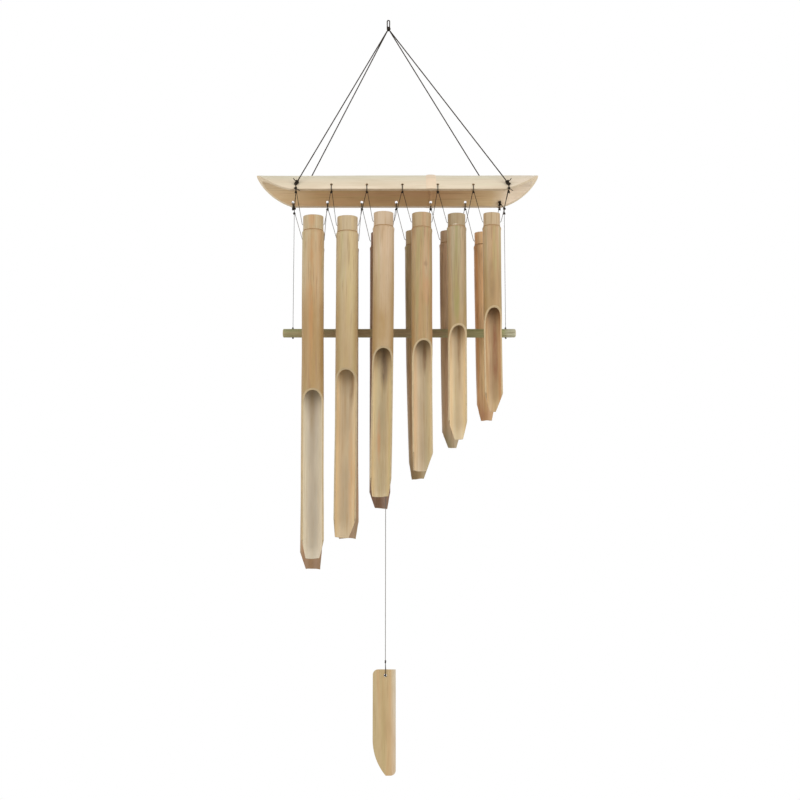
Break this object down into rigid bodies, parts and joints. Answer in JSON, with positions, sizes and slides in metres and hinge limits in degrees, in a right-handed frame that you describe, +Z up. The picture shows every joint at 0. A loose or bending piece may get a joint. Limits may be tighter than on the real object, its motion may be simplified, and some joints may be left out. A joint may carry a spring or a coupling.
{
  "type": "bamboo wind chime",
  "caption": "Bamboo wind chime: a split-culm carrier on a cord loop holds rows of scooped bamboo tubes, with a striker rod and a wind sail hung between them.",
  "frame": {"origin": "inside the top of the hanging loop, where the hook bears", "axes": "+Z up; X along the carrier, from the longest tubes at -X to the shortest at +X; the front row of tubes, with its scoops outward, is on the -Y side"},
  "size_m": [0.395, 0.1118, 1.0588],
  "materials": {
    "carrier_bamboo": "satin split bamboo, pale skin outside and brown inside",
    "tube_bamboo": "satin bamboo with long fibres and paler cut edges",
    "rod_bamboo": "satin dark greenish bamboo cane",
    "sail_bamboo": "satin split bamboo with a paler cut edge",
    "cord": "matt waxed black cord"
  },
  "bodies": {
    "chime_frame": {"carrier": "carrier_bamboo", "hanging_loop": "cord", "front_left_cord": "cord", "front_right_cord": "cord", "back_left_cord": "cord", "back_right_cord": "cord", "front_rim_knots": "cord", "back_rim_knots": "cord", "left_bridle": "cord", "right_bridle": "cord"},
    "front_cord_1": {"front_tube_cord_1": "cord"},
    "front_tube_1": {"front_tube_1": "tube_bamboo"},
    "front_cord_2": {"front_tube_cord_2": "cord"},
    "front_tube_2": {"front_tube_2": "tube_bamboo"},
    "front_cord_3": {"front_tube_cord_3": "cord"},
    "front_tube_3": {"front_tube_3": "tube_bamboo"},
    "front_cord_4": {"front_tube_cord_4": "cord"},
    "front_tube_4": {"front_tube_4": "tube_bamboo"},
    "front_cord_5": {"front_tube_cord_5": "cord"},
    "front_tube_5": {"front_tube_5": "tube_bamboo"},
    "front_cord_6": {"front_tube_cord_6": "cord"},
    "front_tube_6": {"front_tube_6": "tube_bamboo"},
    "back_cord_1": {"back_tube_cord_1": "cord"},
    "back_tube_1": {"back_tube_1": "tube_bamboo"},
    "back_cord_2": {"back_tube_cord_2": "cord"},
    "back_tube_2": {"back_tube_2": "tube_bamboo"},
    "back_cord_3": {"back_tube_cord_3": "cord"},
    "back_tube_3": {"back_tube_3": "tube_bamboo"},
    "back_cord_4": {"back_tube_cord_4": "cord"},
    "back_tube_4": {"back_tube_4": "tube_bamboo"},
    "back_cord_5": {"back_tube_cord_5": "cord"},
    "back_tube_5": {"back_tube_5": "tube_bamboo"},
    "back_cord_6": {"back_tube_cord_6": "cord"},
    "back_tube_6": {"back_tube_6": "tube_bamboo"},
    "left_link": {"left_rod_link": "cord"},
    "right_link": {"right_rod_link": "cord"},
    "left_rod_string": {"left_rod_cord": "cord"},
    "right_rod_string": {"right_rod_cord": "cord"},
    "striker": {"striker_rod": "rod_bamboo", "rod_ties": "cord"},
    "sail_collar": {"sail_hitch": "cord"},
    "sail_swivel": {"sail_link": "cord"},
    "sail_string": {"sail_cord": "cord"},
    "wind_sail": {"sail": "sail_bamboo", "sail_loop": "cord"}
  },
  "joints": [
    {"name": "front_cord_1_swing", "type": "hinge", "parent": "chime_frame", "child": "front_cord_1", "pos_m": [-0.10275, -0.04055, -0.26795], "axis": [1, 0, 0], "range_deg": [-25, 3]},
    {"name": "front_tube_1_rock", "type": "hinge", "parent": "front_cord_1", "child": "front_tube_1", "pos_m": [-0.10275, -0.04055, -0.315], "axis": [1, 0, 0], "range_deg": [-12, 3]},
    {"name": "front_cord_2_swing", "type": "hinge", "parent": "chime_frame", "child": "front_cord_2", "pos_m": [-0.05575, -0.04055, -0.26795], "axis": [1, 0, 0], "range_deg": [-25, 3]},
    {"name": "front_tube_2_rock", "type": "hinge", "parent": "front_cord_2", "child": "front_tube_2", "pos_m": [-0.05575, -0.04055, -0.316], "axis": [1, 0, 0], "range_deg": [-12, 3]},
    {"name": "front_cord_3_swing", "type": "hinge", "parent": "chime_frame", "child": "front_cord_3", "pos_m": [-0.00625, -0.04055, -0.26795], "axis": [1, 0, 0], "range_deg": [-25, 3]},
    {"name": "front_tube_3_rock", "type": "hinge", "parent": "front_cord_3", "child": "front_tube_3", "pos_m": [-0.00625, -0.04055, -0.31], "axis": [1, 0, 0], "range_deg": [-12, 3]},
    {"name": "front_cord_4_swing", "type": "hinge", "parent": "chime_frame", "child": "front_cord_4", "pos_m": [0.04625, -0.04055, -0.26795], "axis": [1, 0, 0], "range_deg": [-25, 3]},
    {"name": "front_tube_4_rock", "type": "hinge", "parent": "front_cord_4", "child": "front_tube_4", "pos_m": [0.04625, -0.04055, -0.311], "axis": [1, 0, 0], "range_deg": [-12, 3]},
    {"name": "front_cord_5_swing", "type": "hinge", "parent": "chime_frame", "child": "front_cord_5", "pos_m": [0.09425, -0.04055, -0.26795], "axis": [1, 0, 0], "range_deg": [-25, 3]},
    {"name": "front_tube_5_rock", "type": "hinge", "parent": "front_cord_5", "child": "front_tube_5", "pos_m": [0.09425, -0.04055, -0.312], "axis": [1, 0, 0], "range_deg": [-12, 3]},
    {"name": "front_cord_6_swing", "type": "hinge", "parent": "chime_frame", "child": "front_cord_6", "pos_m": [0.14275, -0.04055, -0.26795], "axis": [1, 0, 0], "range_deg": [-25, 3]},
    {"name": "front_tube_6_rock", "type": "hinge", "parent": "front_cord_6", "child": "front_tube_6", "pos_m": [0.14275, -0.04055, -0.311], "axis": [1, 0, 0], "range_deg": [-12, 3]},
    {"name": "back_cord_1_swing", "type": "hinge", "parent": "chime_frame", "child": "back_cord_1", "pos_m": [-0.10625, 0.04055, -0.26795], "axis": [1, 0, 0], "range_deg": [-3, 25]},
    {"name": "back_tube_1_rock", "type": "hinge", "parent": "back_cord_1", "child": "back_tube_1", "pos_m": [-0.10625, 0.04055, -0.315], "axis": [1, 0, 0], "range_deg": [-3, 12]},
    {"name": "back_cord_2_swing", "type": "hinge", "parent": "chime_frame", "child": "back_cord_2", "pos_m": [-0.05725, 0.04055, -0.26795], "axis": [1, 0, 0], "range_deg": [-3, 25]},
    {"name": "back_tube_2_rock", "type": "hinge", "parent": "back_cord_2", "child": "back_tube_2", "pos_m": [-0.05725, 0.04055, -0.315], "axis": [1, 0, 0], "range_deg": [-3, 12]},
    {"name": "back_cord_3_swing", "type": "hinge", "parent": "chime_frame", "child": "back_cord_3", "pos_m": [-0.01125, 0.04055, -0.26795], "axis": [1, 0, 0], "range_deg": [-3, 25]},
    {"name": "back_tube_3_rock", "type": "hinge", "parent": "back_cord_3", "child": "back_tube_3", "pos_m": [-0.01125, 0.04055, -0.315], "axis": [1, 0, 0], "range_deg": [-3, 12]},
    {"name": "back_cord_4_swing", "type": "hinge", "parent": "chime_frame", "child": "back_cord_4", "pos_m": [0.03775, 0.04055, -0.26795], "axis": [1, 0, 0], "range_deg": [-3, 25]},
    {"name": "back_tube_4_rock", "type": "hinge", "parent": "back_cord_4", "child": "back_tube_4", "pos_m": [0.03775, 0.04055, -0.313], "axis": [1, 0, 0], "range_deg": [-3, 12]},
    {"name": "back_cord_5_swing", "type": "hinge", "parent": "chime_frame", "child": "back_cord_5", "pos_m": [0.08575, 0.04055, -0.26795], "axis": [1, 0, 0], "range_deg": [-3, 25]},
    {"name": "back_tube_5_rock", "type": "hinge", "parent": "back_cord_5", "child": "back_tube_5", "pos_m": [0.08575, 0.04055, -0.313], "axis": [1, 0, 0], "range_deg": [-3, 12]},
    {"name": "back_cord_6_swing", "type": "hinge", "parent": "chime_frame", "child": "back_cord_6", "pos_m": [0.13375, 0.04055, -0.26795], "axis": [1, 0, 0], "range_deg": [-3, 25]},
    {"name": "back_tube_6_rock", "type": "hinge", "parent": "back_cord_6", "child": "back_tube_6", "pos_m": [0.13375, 0.04055, -0.315], "axis": [1, 0, 0], "range_deg": [-3, 12]},
    {"name": "rod_swing", "type": "hinge", "parent": "chime_frame", "child": "left_link", "pos_m": [-0.1315, 0, -0.279], "axis": [1, 0, 0], "range_deg": [-5.5, 5.5]},
    {"name": "rod_swing_right", "type": "hinge", "parent": "chime_frame", "child": "right_link", "pos_m": [0.1625, 0, -0.279], "axis": [1, 0, 0], "range_deg": [-5.5, 5.5]},
    {"name": "rod_sway", "type": "hinge", "parent": "left_link", "child": "left_rod_string", "pos_m": [-0.1315, 0, -0.286], "axis": [0, 1, 0], "range_deg": [-12, 12]},
    {"name": "rod_sway_right", "type": "hinge", "parent": "right_link", "child": "right_rod_string", "pos_m": [0.1625, 0, -0.286], "axis": [0, 1, 0], "range_deg": [-12, 12]},
    {"name": "rod_level", "type": "hinge", "parent": "left_rod_string", "child": "striker", "pos_m": [-0.1315, 0, -0.4447], "axis": [0, 1, 0], "range_deg": [-12, 12]},
    {"name": "sail_plumb", "type": "hinge", "parent": "striker", "child": "sail_collar", "pos_m": [-0.003, 0, -0.458], "axis": [1, 0, 0], "range_deg": [-5.5, 5.5]},
    {"name": "sail_swing", "type": "hinge", "parent": "sail_collar", "child": "sail_swivel", "pos_m": [-0.003, 0, -0.46825], "axis": [1, 0, 0], "range_deg": [-5.5, 5.5]},
    {"name": "sail_sway", "type": "hinge", "parent": "sail_swivel", "child": "sail_string", "pos_m": [-0.003, 0, -0.47525], "axis": [0, 1, 0], "range_deg": [-20, 20]},
    {"name": "sail_turn", "type": "hinge", "parent": "sail_string", "child": "wind_sail", "pos_m": [-0.003, 0, -0.907], "axis": [0, 0, 1], "continuous": true}
  ],
  "couplings": [
    {"joint": "rod_swing_right", "follows": "rod_swing", "ratio": 1},
    {"joint": "sail_plumb", "follows": "rod_swing", "ratio": -1},
    {"joint": "rod_sway_right", "follows": "rod_sway", "ratio": 1},
    {"joint": "rod_level", "follows": "rod_sway", "ratio": -1}
  ]
}
